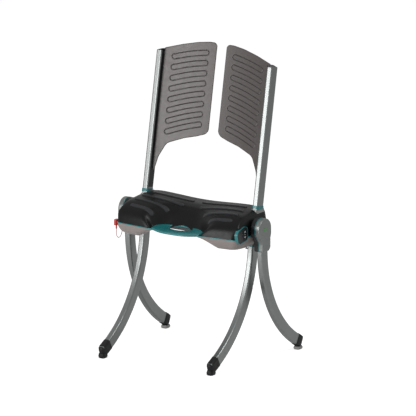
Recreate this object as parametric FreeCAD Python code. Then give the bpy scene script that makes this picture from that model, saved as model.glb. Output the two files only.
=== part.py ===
"""Portable powered lifting chair: seat with drive unit, two folding rear legs, two plug-in front legs
and a two-part plug-in backrest. Millimetres, +Z up, the sitter faces -Y, origin on the floor."""
import FreeCAD, Part
import math
import os

V = FreeCAD.Vector
UP = V(0, 0, 1)

# ---- driving dimensions -------------------------------------------------------------------------
GAP = 0.3                    # clearance between pieces that move on each other
TUBE_WIDTH = 20.0            # leg and post tube, across the chair
TUBE_DEPTH = 35.0            # leg and post tube, front to back
TUBE_CORNER = 5.0
TUBE_WALL = 2.0
BOOT_WALL = 1.5              # rubber round the leg's end

SEAT_HALF = 224.0            # half width of the seat at its sides
SEAT_BACK = 76.0
SEAT_WALL = 3.0
SEAT_FLOOR = 367.0           # underside of the seat beside the legs
SEAM_Z = 408.0               # joint between upper and lower seat shell
TRIM_HEIGHT = 3.0
BEZEL_RIM = 1.6

HUB_Z = 428.0                # axis of the drive shaft, at y = 0
HUB_R = 35.0
SHAFT_R = 9.0
KNUCKLE_IN = SEAT_HALF + 0.6
KNUCKLE_BOSS_R = 24.0
KNUCKLE_FORM = SEAT_HALF + 5.0
KNUCKLE_SEAM = 245.0
KNUCKLE_OUT = 262.0
SEAM_HALF = 0.8

FRONT_X = 200.0              # plane of each front leg
FRONT_R = 400.0
FRONT_CENTRE = (-375.0, 390.0)
FRONT_PLUG_ANGLE = 5.45      # arc angle at which the leg becomes straight, inside the seat
FRONT_END_ANGLE = 68.2
REAR_X = KNUCKLE_SEAM
REAR_R = 376.0
REAR_CENTRE = (8.5 + REAR_R, 361.6)
REAR_END_ANGLE = 65.0
BOOT_LENGTH_ANGLE = 5.2      # stretch of the arc that the rubber foot covers
SOLE = (196.0, 218.0)        # flat sole pad, distance before or behind the drive shaft
SOLE_HALF = 11.0             # half width of the pad
PLUG_LENGTH = 60.0           # straight end of a front leg or post in its socket
REAR_PLUG_TOP = 402.0

POST_X = 204.0
POST_FOOT = (46.5, 486.0)    # y and z where a post's centreline leaves the seat
POST_LEAN = 10.85
POST_LENGTH = 434.0
INSERT_DEPTH = 6.0           # dark channel strip let into the post's inner side
INSERT_WIDTH = 28.0
PANEL_INNER_X = 17.5
PANEL_OUTER_X = POST_X - TUBE_WIDTH / 2 - 1.0
PANEL_SETBACK = 19.0         # how far the panel's middle lies behind the posts' plane
PANEL_THICK = 4.5

HANDLE_THICK = 7.0
HANDLE_HALF = 89.0
HAND_HOLE = (85.0, 45.0)
HAND_HOLE_Y = -80.0

GEAR_MODULE = 1.5
GEAR_TEETH = 42
PINION_TEETH = 14
GEAR_X = 112.0
GEAR_WIDTH = 10.0

os.makedirs("parts", exist_ok=True)


# ---- helpers ------------------------------------------------------------------------------------
def save(name, *solids):
    """Write one node; several separate solids go in as a compound."""
    shape = solids[0] if len(solids) == 1 else Part.makeCompound(list(solids))
    shape.exportStep(f"parts/{name}.step")
    print(name, len(shape.Solids), shape.isValid(), round(shape.Volume / 1000, 2), "cm3")


def mirrored(shape):
    """The same piece for the other side of the chair."""
    return shape.mirror(V(0, 0, 0), V(1, 0, 0))


def sides(shape):
    return [shape, mirrored(shape)]


def block(x0, x1, y0, y1, z0, z1):
    return Part.makeBox(x1 - x0, y1 - y0, z1 - z0, V(x0, y0, z0))


def rod(start, direction, length, radius):
    return Part.makeCylinder(radius, length, start, direction)


def rod_x(x0, x1, y, z, radius):
    return rod(V(x0, y, z), V(1, 0, 0), x1 - x0, radius)


def only(shape):
    """The single solid that a boolean leaves."""
    solids = sorted(shape.Solids, key=lambda solid: -solid.Volume)
    return solids[0]


def outline(corners, place):
    """Face inside a closed outline of (a, b, corner radius); place turns (a, b) into a point."""
    edges = []
    starts = []
    count = len(corners)
    rounded = []
    for i, (a, b, radius) in enumerate(corners):
        here = V(a, b, 0)
        before = (V(*corners[i - 1][:2], 0) - here).normalize()
        after = (V(*corners[(i + 1) % count][:2], 0) - here).normalize()
        if radius == 0:
            rounded.append((here, here, None))
            continue
        half = before.getAngle(after) / 2
        reach = radius / math.tan(half)
        middle = here + (before + after).normalize() * (radius / math.sin(half) - radius)
        rounded.append((here + before * reach, here + after * reach, middle))
    for i, (start, end, middle) in enumerate(rounded):
        if middle is not None:
            edges.append(Part.Arc(place(start.x, start.y), place(middle.x, middle.y),
                                  place(end.x, end.y)).toShape())
        following = rounded[(i + 1) % count][0]
        if (following - end).Length > 1e-6:
            edges.append(Part.makeLine(place(end.x, end.y), place(following.x, following.y)))
    return Part.Face(Part.Wire(edges))


def inset(face, distance):
    return face if distance == 0 else face.makeOffset2D(-distance)


def section(width, depth, radius, centre, across, along):
    """Rounded rectangle face: width along `across`, depth along `along`."""
    corners = [(sx * width / 2, sy * depth / 2, radius) for sx, sy in ((1, 1), (-1, 1), (-1, -1), (1, -1))]
    return outline(corners, lambda a, b: centre + across * a + along * b)


def cord_tube(route, radius):
    """Tube along straight runs joined by tangent arcs."""
    points = [V(*place) for place in route]
    edges, start, radii = [], points[0], []
    for before, here, after in zip(points, points[1:], points[2:]):
        into, onward = (before - here).normalize(), (after - here).normalize()
        half = into.getAngle(onward) / 2
        reach = 0.45 * min((before - here).Length, (after - here).Length)
        bend = reach * math.tan(half)
        radii.append(round(bend, 1))
        middle = here + (into + onward).normalize() * (bend / math.sin(half) - bend)
        edges.append(Part.makeLine(start, here + into * reach))
        edges.append(Part.Arc(here + into * reach, middle, here + onward * reach).toShape())
        start = here + onward * reach
    edges.append(Part.makeLine(start, points[-1]))
    path = Part.Wire(edges)
    ring = Part.Wire(Part.makeCircle(radius, points[0], points[1] - points[0]))
    tube = path.makePipeShell([ring], True, False)
    length = path.Length
    print("cord: radii", radii, "length", round(length, 1), "volume ratio",
          round(tube.Volume / (math.pi * radius ** 2 * length), 4))
    return tube


# ---- seat shells --------------------------------------------------------------------------------
SEAT_PLAN = [(224, 76, 20), (-224, 76, 20), (-224, -104, 12), (-95, -121, 60), (95, -121, 60),
             (224, -104, 12)]
SEAT_SIDE = [(-107, 404, 5), (-90, 440, 40), (-48, 470, 70), (20, 482, 150), (76, 484, 14),
             (76, SEAT_FLOOR, 12), (-40, SEAT_FLOOR, 60), (-100, 382, 8)]
SEAT_FRONT = [(224, 360, 0), (224, 440, 30), (217, 478, 9), (180, 492, 0), (-180, 492, 0),
              (-217, 478, 9), (-224, 440, 30), (-224, 360, 0), (-165, 366, 60), (-80, 392, 60),
              (80, 392, 60), (165, 366, 60)]
SCOOP_FOOT_Y = -60.0
HANDLE_TOP = SEAM_Z + TRIM_HEIGHT / 2
REACH = 60.0                 # how far cutting solids run past the seat


def seat_block(depth):
    """The seat's closed outer form, `depth` inside its surface: three outlines crossed."""
    low, high = 330.0, 520.0
    plan = outline(SEAT_PLAN, lambda a, b: V(a, b, low))
    side = outline(SEAT_SIDE, lambda a, b: V(-SEAT_HALF - REACH, a, b))
    front = outline(SEAT_FRONT, lambda a, b: V(a, -2 * REACH - 60, b))
    form = inset(plan, depth).extrude(V(0, 0, high - low))
    form = form.common(inset(side, depth).extrude(V(2 * (SEAT_HALF + REACH), 0, 0)))
    return only(form.common(inset(front, depth).extrude(V(0, 5 * REACH, 0))))


def scoop(grow):
    """Hollow over the carry handle, open at the front; `grow` makes it larger all round."""
    def level(half, back, radius, z):
        corners = [(half + grow, back + grow, radius), (-half - grow, back + grow, radius),
                   (-half - grow, -200, 0), (half + grow, -200, 0)]
        return outline(corners, lambda a, b: V(a, b, z)).OuterWire
    return Part.makeLoft([level(82, SCOOP_FOOT_Y, 24, HANDLE_TOP), level(94, -22, 50, 486)], True)


def finger_recess(grow):
    """Space under the hand hole for the fingers."""
    corners = [(64 + grow, -50 + grow, 20), (-64 - grow, -50 + grow, 20), (-64 - grow, -200, 0),
               (64 + grow, -200, 0)]
    return outline(corners, lambda a, b: V(a, b, 330)).extrude(V(0, 0, SEAM_Z - 330))


def slab(z0, z1):
    return block(-300, 300, -200, 200, z0, z1)


def handle_plate(hole=True):
    """Flat carry handle with its hand hole."""
    z = HANDLE_TOP - HANDLE_THICK
    corners = [(-HANDLE_HALF, -117, 4), (-42, -136, 120), (42, -136, 120), (HANDLE_HALF, -117, 4),
               (HANDLE_HALF, -46, 8), (-HANDLE_HALF, -46, 8)]
    plate = outline(corners, lambda a, b: V(a, b, z)).extrude(UP * HANDLE_THICK)
    if not hole:
        return plate
    width, depth = HAND_HOLE
    oval = section(width, depth, depth / 2 - 0.2, V(0, HAND_HOLE_Y, z), V(1, 0, 0), V(0, 1, 0))
    return only(plate.cut(oval.extrude(UP * HANDLE_THICK)))


# ---- places where tubes, shaft and buttons go through -------------------------------------------
def lean(angle):
    """Unit vector that leans back from vertical by angle degrees."""
    return V(0, math.sin(math.radians(angle)), math.cos(math.radians(angle)))


def across(direction):
    """Unit vector square to a leaning direction, pointing backwards."""
    return V(0, direction.z, -direction.y)


POST_AXIS = lean(POST_LEAN)
POST_BASE = V(POST_X, *POST_FOOT)
PLUG_AXIS = lean(FRONT_PLUG_ANGLE)
PLUG_BASE = V(FRONT_X,
              FRONT_CENTRE[0] + FRONT_R * math.cos(math.radians(FRONT_PLUG_ANGLE)),
              FRONT_CENTRE[1] - FRONT_R * math.sin(math.radians(FRONT_PLUG_ANGLE)))
REAR_TOP = V(REAR_X, REAR_CENTRE[0] - REAR_R, REAR_CENTRE[1])


def straight_tube(base, axis, start, end, grow=0.0, width=TUBE_WIDTH, depth=TUBE_DEPTH,
                  radius=TUBE_CORNER):
    """Solid bar with the tube's outer section, grown by `grow`, from start to end along axis."""
    face = section(width + 2 * grow, depth + 2 * grow, max(radius + grow, 0.5), base + axis * start,
                   V(1, 0, 0), across(axis))
    return face.extrude(axis * (end - start))


def hollow_tube(base, axis, start, end):
    return straight_tube(base, axis, start, end).cut(
        straight_tube(base, axis, start, end, -TUBE_WALL))


BUTTON_R = 5.0
BUTTON_HOLE = BUTTON_R + 0.4
POST_BUTTON = V(POST_X, SEAT_BACK, 452)          # on the seat's back wall, pressed forwards
LEG_BUTTON = V(176, 30, 367)                     # on the seat's underside, pressed up
NECK_BUTTON = V(REAR_X, 31, 377)                 # on the back of a knuckle's neck, pressed forwards

PANEL_OUTLINE = [(-106, 427, 8), (-98, 438, 10), (-66, 447, 9), (-47, 442, 8), (-44, 401, 9),
                 (-90, 394, 10), (-101, 402, 8)]
BEZEL_IN = SEAT_HALF - 8
BEZEL_OUT = SEAT_HALF + 2.5
UP_KEY = (-61, 429.5)
DOWN_KEY = (-61, 412)
LAMP = (-61, 420.7)
KEY_R = 5.5
LAMP_R = 1.6
RED_KEY = (-84, 402)         # y and z of the pull key on the other side
KEY_PLUG_R = 4.0


def side_face(corners, x):
    return outline(corners, lambda a, b: V(x, a, b))


def panel_prism(depth, x0, x1):
    return inset(side_face(PANEL_OUTLINE, x0), depth).extrude(V(x1 - x0, 0, 0))


def shell_screws():
    """Pan-head screws that hold the lower shell."""
    screws = []
    for y in (-30, 60):
        at = V(SEAT_HALF - 12, y, SEAT_FLOOR)
        head = rod(at - UP * 0.8, UP, 3, 4)
        screws += sides(head.fuse(rod(at, UP, 15, 2)).removeSplitter())
    return screws


def seat_cuts():
    """Everything that passes through the seat's shells."""
    cuts = sides(straight_tube(POST_BASE, POST_AXIS, -PLUG_LENGTH - 2, 30, GAP))
    cuts += sides(straight_tube(PLUG_BASE, PLUG_AXIS, -10, 40, GAP))
    cuts += [rod_x(-SEAT_HALF - 5, SEAT_HALF + 5, 0, HUB_Z, SHAFT_R + 1.5)]
    cuts += sides(rod(POST_BUTTON - V(0, 12, 0), V(0, 1, 0), 20, BUTTON_HOLE))
    cuts += sides(rod(LEG_BUTTON - UP * 8, UP, 20, BUTTON_HOLE))
    cuts += [panel_prism(0, BEZEL_IN, BEZEL_OUT)]
    cuts += [rod_x(-SEAT_HALF - 5, -SEAT_HALF + 12, *RED_KEY, KEY_PLUG_R + 3)]
    cuts += [handle_plate(False)]
    cuts += shell_screws()
    return Part.makeCompound(cuts)


def make_shells():
    """Upper and lower seat shell, and the coloured trim between them."""
    outer, inner = seat_block(0), seat_block(SEAT_WALL)
    cuts = seat_cuts()
    upper_outer = outer.common(slab(HANDLE_TOP, 600)).cut(scoop(0))
    upper_inner = inner.common(slab(300, 600)).cut(scoop(SEAT_WALL))
    save("seat_top_shell", only(upper_outer.cut(upper_inner).cut(cuts)))
    lower_top = SEAM_Z - TRIM_HEIGHT / 2
    lower_outer = outer.common(slab(300, lower_top)).cut(finger_recess(0))
    lower_inner = inner.cut(finger_recess(SEAT_WALL))
    save("seat_under_shell", only(lower_outer.cut(lower_inner).cut(cuts)))
    ring = seat_block(-0.5).common(slab(lower_top, HANDLE_TOP)).cut(inner).cut(cuts)
    save("seam_trim", *[piece for piece in ring.Solids if piece.Volume > 100])
    save("carry_handle", handle_plate())
    save("shell_screws", *shell_screws())
    cap = section(26, 14, 4, V(-70, SEAT_BACK, 440), V(1, 0, 0), UP)
    save("charge_port_cap", cap.extrude(V(0, 1.8, 0)))


def make_control_panel():
    """Bezel, plate, lamp and board on the seat's left-hand side."""
    bezel = panel_prism(0, BEZEL_IN, BEZEL_OUT).cut(panel_prism(BEZEL_RIM, BEZEL_IN, BEZEL_OUT))
    save("panel_bezel", only(bezel))
    plate = panel_prism(BEZEL_RIM, SEAT_HALF - 3, BEZEL_OUT - 1)
    holes = [rod_x(BEZEL_IN, BEZEL_OUT, *key, KEY_R + 0.4) for key in (UP_KEY, DOWN_KEY)]
    holes += [rod_x(BEZEL_IN, BEZEL_OUT, *LAMP, LAMP_R)]
    save("panel_plate", only(plate.cut(Part.makeCompound(holes))))
    save("panel_lamp", rod_x(SEAT_HALF - 6, BEZEL_OUT - 0.8, *LAMP, LAMP_R))
    save("panel_board", block(SEAT_HALF - 12, SEAT_HALF - 10.4, -72, -30, 398, 432))
    for name, key in (("up_button", UP_KEY), ("down_button", DOWN_KEY)):
        stem = rod_x(SEAT_HALF - 8, SEAT_HALF - 3, *key, 3)
        save(name, rod_x(SEAT_HALF - 3, BEZEL_OUT - 0.2, *key, KEY_R).fuse(stem).removeSplitter())


# ---- structure inside the seat ------------------------------------------------------------------
PLATE_X = 182.0              # inner face of each side plate of the chassis
PLATE_THICK = 4.0
BEARING_R = 15.0
BATTERY_X = (-176.0, -104.0)
MOTOR_Y = (GEAR_TEETH + PINION_TEETH) * GEAR_MODULE / 2
MOTOR_R = 18.0


def make_sockets():
    """Sockets that the posts and front legs plug into, closed at their far ends."""
    room = seat_block(SEAT_WALL)
    width, depth = 28.0, TUBE_DEPTH + 8
    posts = straight_tube(POST_BASE, POST_AXIS, -PLUG_LENGTH - 3, 20, 0, width - 1, depth, 6)
    posts = posts.cut(straight_tube(POST_BASE, POST_AXIS, -PLUG_LENGTH - GAP, 30, GAP))
    posts = posts.cut(block(0, PLATE_X + PLATE_THICK, -200, 200, 300, 600))
    save("post_sockets", *sides(only(posts.common(room))))
    legs = straight_tube(PLUG_BASE, PLUG_AXIS, -10, PLUG_LENGTH + 3, 0, width, depth, 6)
    legs = legs.cut(straight_tube(PLUG_BASE, PLUG_AXIS, -20, PLUG_LENGTH + GAP, GAP))
    save("front_leg_sockets", *sides(only(legs.common(room))))
    form = seat_block(0)
    ring = straight_tube(POST_BASE, POST_AXIS, -12, 1, 1.6).cut(
        straight_tube(POST_BASE, POST_AXIS, -20, 10, GAP))
    save("post_collars", *sides(only(ring.cut(form))))
    ring = straight_tube(PLUG_BASE, PLUG_AXIS, 10, 22, 2.0).cut(
        straight_tube(PLUG_BASE, PLUG_AXIS, 0, 30, GAP))
    save("front_leg_collars", *sides(only(ring.cut(form))))


def make_chassis():
    """Two side plates joined by cross rails, and the bearings that carry the drive shaft."""
    corners = [(-70, 386, 4), (66, 386, 4), (66, 452, 8), (16, 456, 8), (-34, 450, 8), (-70, 424, 8)]
    plate = side_face(corners, PLATE_X).extrude(V(PLATE_THICK, 0, 0))
    plate = plate.cut(rod_x(0, 300, 0, HUB_Z, BEARING_R))
    frame = Part.makeCompound([])
    parts = sides(plate)
    for y in (-44, 51):
        parts.append(block(-PLATE_X - 1, PLATE_X + 1, y, y + 12, 397, 407))
    frame = parts[0].multiFuse(parts[1:]).removeSplitter()
    save("chassis_frame", only(frame))
    ring = rod_x(PLATE_X - 4, PLATE_X + PLATE_THICK, 0, HUB_Z, BEARING_R)
    ring = ring.cut(rod_x(PLATE_X - 10, PLATE_X + 10, 0, HUB_Z, SHAFT_R + 0.05))
    save("shaft_bearings", *sides(ring))


def involute(base_r, angle, radius):
    """Point at `radius` on the involute of a base circle that starts at `angle`."""
    unwound = math.sqrt(max((radius / base_r) ** 2 - 1, 0))
    at = angle + unwound - math.atan(unwound)
    return radius * math.cos(at), radius * math.sin(at)


def gear(teeth, x, width, y, z, first_tooth):
    """Involute spur gear about an axis along X; first_tooth is the direction of one tooth."""
    pitch_r = GEAR_MODULE * teeth / 2
    base_r = pitch_r * math.cos(math.radians(20))
    tip_r, root_r = pitch_r + GEAR_MODULE, pitch_r - 1.25 * GEAR_MODULE
    unwound = math.tan(math.radians(20)) - math.radians(20)
    half = math.pi / (2 * teeth) + unwound - 0.12 / pitch_r
    start_r = max(base_r, root_r)
    radii = [start_r + (tip_r - start_r) * step / 4 for step in range(5)]
    points = []
    for tooth in range(teeth):
        middle = first_tooth + 2 * math.pi * tooth / teeth
        flank = [involute(base_r, -half, radius) for radius in radii]
        flank = [(root_r * math.cos(half), -root_r * math.sin(half))] + flank
        rising = [(a, b) for a, b in flank]
        falling = [(a, -b) for a, b in reversed(flank)]
        for a, b in rising + falling:
            points.append(V(x, y + a * math.cos(middle) - b * math.sin(middle),
                            z + a * math.sin(middle) + b * math.cos(middle)))
    return Part.Face(Part.makePolygon(points + points[:1])).extrude(V(width, 0, 0))


def make_drive():
    """Battery, board, motor with its gearbox and pinion, and the shaft with its gear."""
    shaft_end = KNUCKLE_OUT - 6
    save("drive_shaft", rod_x(-shaft_end, shaft_end, 0, HUB_Z, SHAFT_R))
    bore = rod_x(GEAR_X - 10, GEAR_X + 30, 0, HUB_Z, SHAFT_R)
    save("drive_gear", only(gear(GEAR_TEETH, GEAR_X, GEAR_WIDTH, 0, HUB_Z, 0).cut(bore)))
    pinion = gear(PINION_TEETH, GEAR_X - 1, GEAR_WIDTH + 2, MOTOR_Y, HUB_Z,
                  math.pi + math.pi / PINION_TEETH)
    stub = rod_x(GEAR_X - 8, GEAR_X - 1, MOTOR_Y, HUB_Z, 4)
    save("motor_pinion", only(pinion.fuse(stub).removeSplitter()))
    box_x = GEAR_X - 4
    housing = rod_x(box_x - 48, box_x, MOTOR_Y, HUB_Z, MOTOR_R + 2)
    housing = housing.cut(rod_x(box_x - 6, box_x + 1, MOTOR_Y, HUB_Z, 4.05))
    save("gearbox_housing", housing)
    motor = rod_x(box_x - 48 - 70, box_x - 48, MOTOR_Y, HUB_Z, MOTOR_R)
    save("lift_motor", motor)
    foot = block(box_x - 40, box_x - 8, MOTOR_Y - 12, MOTOR_Y + 12, 407, HUB_Z)
    save("motor_bracket", only(foot.cut(rod_x(0, 200, MOTOR_Y, HUB_Z, MOTOR_R + 2))))
    x0, x1 = BATTERY_X
    pack = block(x0, x1, -70, -46, 399, 419)
    pack = pack.fuse(block(x0, x1, -46, -14, 407, 449)).fuse(block(x0, x1, -70, -45, 418, 436))
    save("battery_pack", only(pack.removeSplitter()))
    save("control_board", block(100, 174, -70, -46, 412, 413.6))
    motor_end = box_x - 48 - 70
    route = [(BATTERY_X[1], -30, 440), (-90, -30, 440), (-73, -23, 444), (-60, -8, 448), (-52, 8, 447),
             (-46, 24, 441), (-38, 36, 433), (-25, MOTOR_Y, HUB_Z), (motor_end, MOTOR_Y, HUB_Z)]
    save("power_lead", cord_tube(route, 2.5))


def make_buttons():
    """Round release buttons of the sockets and necks."""
    places = {"post_release": (POST_BUTTON, V(0, 1, 0), 7.0, 2.5),
              "front_leg_release": (LEG_BUTTON, UP * -1, 8.0, 2.5),
              "rear_leg_release": (NECK_BUTTON, V(0, 1, 0), 2.6, 2.0)}
    for name, (at, outward, inside, proud) in places.items():
        button = rod(at - outward * inside, outward, inside + proud, BUTTON_R)
        rim = [edge for edge in button.Edges if edge.Curve.TypeId == "Part::GeomCircle"
               and (edge.CenterOfMass - at).dot(outward) > proud - 0.1]
        button = button.makeFillet(0.8, rim)
        save(name + "_left", button)
        save(name + "_right", mirrored(button))


# ---- legs ---------------------------------------------------------------------------------------
def arc_tube(x, centre, radius, direction, start, end, grow=0.0):
    """Tube section swept round an arc in the plane x, between two angles below horizontal."""
    middle = V(x, *centre)
    turn = math.radians(start)
    out = V(0, direction * math.cos(turn), -math.sin(turn))
    face = section(TUBE_WIDTH + 2 * grow, TUBE_DEPTH + 2 * grow, max(TUBE_CORNER + grow, 0.5),
                   middle + out * radius, V(1, 0, 0), out)
    return face.revolve(middle, V(-direction, 0, 0), end - start)


def make_leg(name, x, centre, radius, direction, start, end, plug):
    """Curved tube with its straight plug end, and the rubber foot over its other end."""
    tube_end = end - 1.2
    boot_start = end - BOOT_LENGTH_ANGLE
    solid = arc_tube(x, centre, radius, direction, start, tube_end).fuse(plug(0))
    bore = arc_tube(x, centre, radius, direction, start, tube_end + 1, -TUBE_WALL).fuse(plug(-TUBE_WALL))
    leg = only(solid.cut(bore)).removeSplitter()
    boot = arc_tube(x, centre, radius, direction, boot_start, end, BOOT_WALL)
    near, far = sorted(-direction * distance for distance in SOLE)
    boot = boot.fuse(block(x - SOLE_HALF, x + SOLE_HALF, near, far, 0, 14))
    floor = block(-400, 400, -400, 400, 0, 200)
    boot = boot.removeSplitter().common(floor)
    ring = arc_tube(x, centre, radius, direction, boot_start - 5, tube_end).cut(
        arc_tube(x, centre, radius, direction, boot_start - 5, tube_end, -TUBE_WALL))
    boot = only(boot.cut(ring))
    for side, make in (("left", lambda shape: shape), ("right", mirrored)):
        save(f"{name}_leg_{side}", make(leg))
        save(f"{name}_foot_{side}", make(boot))


def make_legs():
    make_leg("front", FRONT_X, FRONT_CENTRE, FRONT_R, 1, FRONT_PLUG_ANGLE, FRONT_END_ANGLE,
             lambda grow: straight_tube(PLUG_BASE, PLUG_AXIS, 0, PLUG_LENGTH, grow))
    make_leg("rear", REAR_X, REAR_CENTRE, REAR_R, -1, 0, REAR_END_ANGLE,
             lambda grow: straight_tube(REAR_TOP, UP, 0, REAR_PLUG_TOP - REAR_TOP.z, grow))


# ---- backrest -----------------------------------------------------------------------------------
POST_BACK = across(POST_AXIS)
PANEL_SHAPE = [(PANEL_INNER_X, 480, 12), (45, 480, 60), (85, 474, 120), (137, 461, 120), (194, 443, 3),
               (194, 58, 0), (188, 62, 0), (181, 102, 40), (158, 148, 34), (100, 171, 80), (58, 182, 40),
               (PANEL_INNER_X, 196, 24)]


def post_point(x, along, back=0.0):
    """Point of the backrest: x, distance up the post from the seat, distance behind the post."""
    return V(x, *POST_FOOT) + POST_AXIS * along + POST_BACK * back


def setback(x):
    """How far the panel's front lies behind the posts' centre plane at x."""
    return PANEL_SETBACK * (1 - (x / (POST_X - TUBE_WIDTH / 2)) ** 2)


def make_backrest():
    """Two posts, the dark strip with end cap in each, and the curved panel that each one carries."""
    face_x = POST_X - TUBE_WIDTH / 2
    post = hollow_tube(POST_BASE, POST_AXIS, -PLUG_LENGTH, POST_LENGTH)
    strip = straight_tube(V(face_x + INSERT_DEPTH / 2, *POST_FOOT), POST_AXIS, 6, POST_LENGTH, 0,
                          INSERT_DEPTH, INSERT_WIDTH, 0.6)
    post = only(post.cut(strip))
    cap = straight_tube(POST_BASE, POST_AXIS, POST_LENGTH, POST_LENGTH + 12)
    tip = POST_BASE + POST_AXIS * (POST_LENGTH + 3)
    slope = section(80, 80, 2, tip, V(0.94, 0, -0.34), POST_BACK).extrude(V(0.34, 0, 0.94) * 30)
    strip = only(strip.fuse(cap.cut(slope)).removeSplitter())
    steps = 8
    xs = [PANEL_INNER_X + (face_x - PANEL_INNER_X) * i / steps for i in range(steps + 1)]
    bottom, height = 40, 460
    front, back = Part.BSplineCurve(), Part.BSplineCurve()
    front.interpolate([post_point(x, bottom, setback(x)) for x in xs])
    back.interpolate([post_point(x, bottom, setback(x) + PANEL_THICK) for x in reversed(xs)])
    edges = [front.toShape(), Part.makeLine(front.EndPoint, back.StartPoint), back.toShape(),
             Part.makeLine(back.EndPoint, front.StartPoint)]
    sheet = Part.Face(Part.Wire(edges)).extrude(POST_AXIS * height)
    shape = outline([(min(x, face_x), along, radius) for x, along, radius in PANEL_SHAPE],
                    lambda a, b: post_point(a, b, -50)).extrude(POST_BACK * 120)
    panel = only(sheet.common(shape))
    for side, make in (("left", lambda shape: shape), ("right", mirrored)):
        save(f"back_post_{side}", make(post))
        save(f"post_strip_{side}", make(strip))
        save(f"back_panel_{side}", make(panel))


# ---- knuckles that carry the rear legs ----------------------------------------------------------
def knuckle_form(x0, x1, grow=0.0):
    """Round hub with a neck down to the leg, between two planes."""
    top = HUB_Z + HUB_R
    round_top = HUB_R - 0.1
    corners = [(-HUB_R, top, round_top), (-HUB_R, 417, 14), (-14, 386, 26), (-14, 356, 5), (22, 356, 5),
               (31, 366, 6), (31, 398, 8), (HUB_R, 408, 8), (HUB_R, top, round_top)]
    return inset(side_face(corners, x0), -grow).extrude(V(x1 - x0, 0, 0))


def outer_edges(shape, x):
    return [edge for edge in shape.Edges if all(abs(vertex.X - x) < 1e-4 for vertex in edge.Vertexes)
            and abs(edge.BoundBox.XLength) < 1e-4]


def make_knuckles():
    """Inner half, coloured joint line, outer cover and its round inlay; the leg plugs in from below."""
    room = straight_tube(REAR_TOP, UP, -20, REAR_PLUG_TOP + GAP - REAR_TOP.z, GAP)
    bore = rod_x(0, KNUCKLE_OUT - 6, 0, HUB_Z, SHAFT_R)
    hole = rod(NECK_BUTTON - V(0, 8, 0), V(0, 1, 0), 20, BUTTON_HOLE)
    cuts = Part.makeCompound([room, bore, hole])
    low, high = KNUCKLE_SEAM - SEAM_HALF, KNUCKLE_SEAM + SEAM_HALF
    boss = rod_x(KNUCKLE_IN, KNUCKLE_FORM, 0, HUB_Z, KNUCKLE_BOSS_R)
    save_pair("knuckle_inner", knuckle_form(KNUCKLE_FORM, low).fuse(boss).cut(cuts))
    save_pair("knuckle_seam", knuckle_form(low, high, 0.4).cut(cuts))
    cover = knuckle_form(high, KNUCKLE_OUT)
    cover = cover.makeFillet(3.5, outer_edges(cover, KNUCKLE_OUT))
    inlay = rod_x(KNUCKLE_OUT - 1.5, KNUCKLE_OUT, 0, HUB_Z, 6)
    save_pair("knuckle_cover", cover.cut(cuts).cut(inlay))
    save("knuckle_inlays", *sides(inlay))


def save_pair(name, shape):
    piece = only(shape)
    save(name + "_left", piece)
    save(name + "_right", mirrored(piece))


# ---- pull key and its lanyard -------------------------------------------------------------------
CORD_R = 1.0
CORD_X = -SEAT_HALF - 11.0
CORD_ROUTE = [(CORD_X, -84, 381), (CORD_X, -85, 370), (CORD_X, -83, 360), (CORD_X, -77, 352),
              (CORD_X, -68, 349), (CORD_X, -59, 353), (CORD_X, -53, 361), (CORD_X, -51, 371),
              (CORD_X, -52, 382), (CORD_X, -57, 391), (CORD_X, -65, 398), (CORD_X, -74, 402)]


def make_key():
    """Red pull key in its socket, with a small hand lanyard."""
    y, z = RED_KEY
    socket = rod_x(-SEAT_HALF - 1, -SEAT_HALF + 14, y, z, KEY_PLUG_R + 3)
    save("key_socket", only(socket.cut(rod_x(-SEAT_HALF - 2, -SEAT_HALF + 12, y, z, KEY_PLUG_R + GAP))))
    plug = rod_x(-SEAT_HALF - 6, -SEAT_HALF + 10, y, z, KEY_PLUG_R)
    head = section(10, 16, 3, V(-SEAT_HALF - 11, y, z - 9), V(1, 0, 0), V(0, 1, 0)).extrude(UP * 18)
    stem = rod(V(CORD_X, y, z - 21), UP, 13, 2.4)
    save("pull_key", only(plug.fuse([head, stem]).removeSplitter()))
    save("lanyard", cord_tube(CORD_ROUTE, CORD_R))


make_shells()
make_control_panel()
make_sockets()
make_chassis()
make_drive()
make_buttons()
make_legs()
make_backrest()
make_knuckles()
make_key()
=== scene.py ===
import math

import bmesh
import bpy
import numpy as np
from mathutils import Matrix, Vector


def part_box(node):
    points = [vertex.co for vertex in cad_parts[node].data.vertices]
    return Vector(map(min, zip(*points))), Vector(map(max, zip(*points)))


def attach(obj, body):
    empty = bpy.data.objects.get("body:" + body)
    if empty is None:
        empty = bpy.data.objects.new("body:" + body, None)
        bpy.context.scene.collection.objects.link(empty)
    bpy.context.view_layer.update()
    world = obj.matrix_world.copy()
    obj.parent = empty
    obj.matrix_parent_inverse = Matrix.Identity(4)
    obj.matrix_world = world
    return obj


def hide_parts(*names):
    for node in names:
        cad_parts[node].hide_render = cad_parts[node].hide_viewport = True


bl_info = {
    "name": "Lifting Chair",
    "version": (1, 0, 0),
    "blender": (4, 5, 0),
    "location": "View3D > Sidebar > Chair",
    "description": "Builds the looks of a portable powered lifting chair round its packed frame",
    "category": "Object",
}

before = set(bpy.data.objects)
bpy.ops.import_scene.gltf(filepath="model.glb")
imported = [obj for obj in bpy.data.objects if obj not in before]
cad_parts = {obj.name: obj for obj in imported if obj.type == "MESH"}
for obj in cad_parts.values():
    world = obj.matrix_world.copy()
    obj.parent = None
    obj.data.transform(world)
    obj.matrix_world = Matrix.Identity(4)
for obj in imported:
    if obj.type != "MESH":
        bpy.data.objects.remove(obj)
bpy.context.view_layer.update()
MM = 0.001
SIDES = {"left": 1.0, "right": -1.0}


# ---- places read from the frame, in millimetres ----------------------------------------------------
def span(node):
    """Lowest and highest corner of a CAD node, in millimetres."""
    low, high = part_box(node)
    return low / MM, high / MM


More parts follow.
